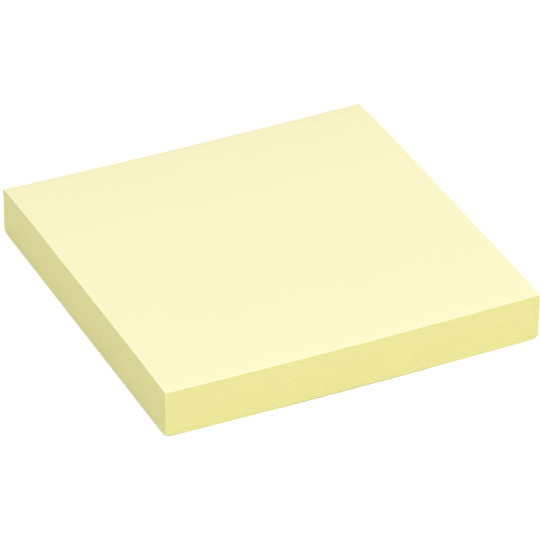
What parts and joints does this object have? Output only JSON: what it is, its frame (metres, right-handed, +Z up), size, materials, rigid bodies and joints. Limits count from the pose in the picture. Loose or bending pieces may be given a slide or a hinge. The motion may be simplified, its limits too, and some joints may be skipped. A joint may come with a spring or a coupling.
{
  "type": "sticky note pad",
  "caption": "Square pad of pale yellow self-stick notes, gummed along one edge, on a thin release-coated backing sheet.",
  "frame": {"origin": "centre of the pad's footprint, on its underside", "axes": "+Z up through the stack of sheets, +X along the free edge, +Y from the free edge to the gummed edge"},
  "size_m": [0.076, 0.076, 0.0101],
  "materials": {
    "note_paper": "matte",
    "backing_paper": "satin"
  },
  "bodies": {
    "root": {"note_sheets": "note_paper", "backing_sheet": "backing_paper"}
  },
  "joints": []
}
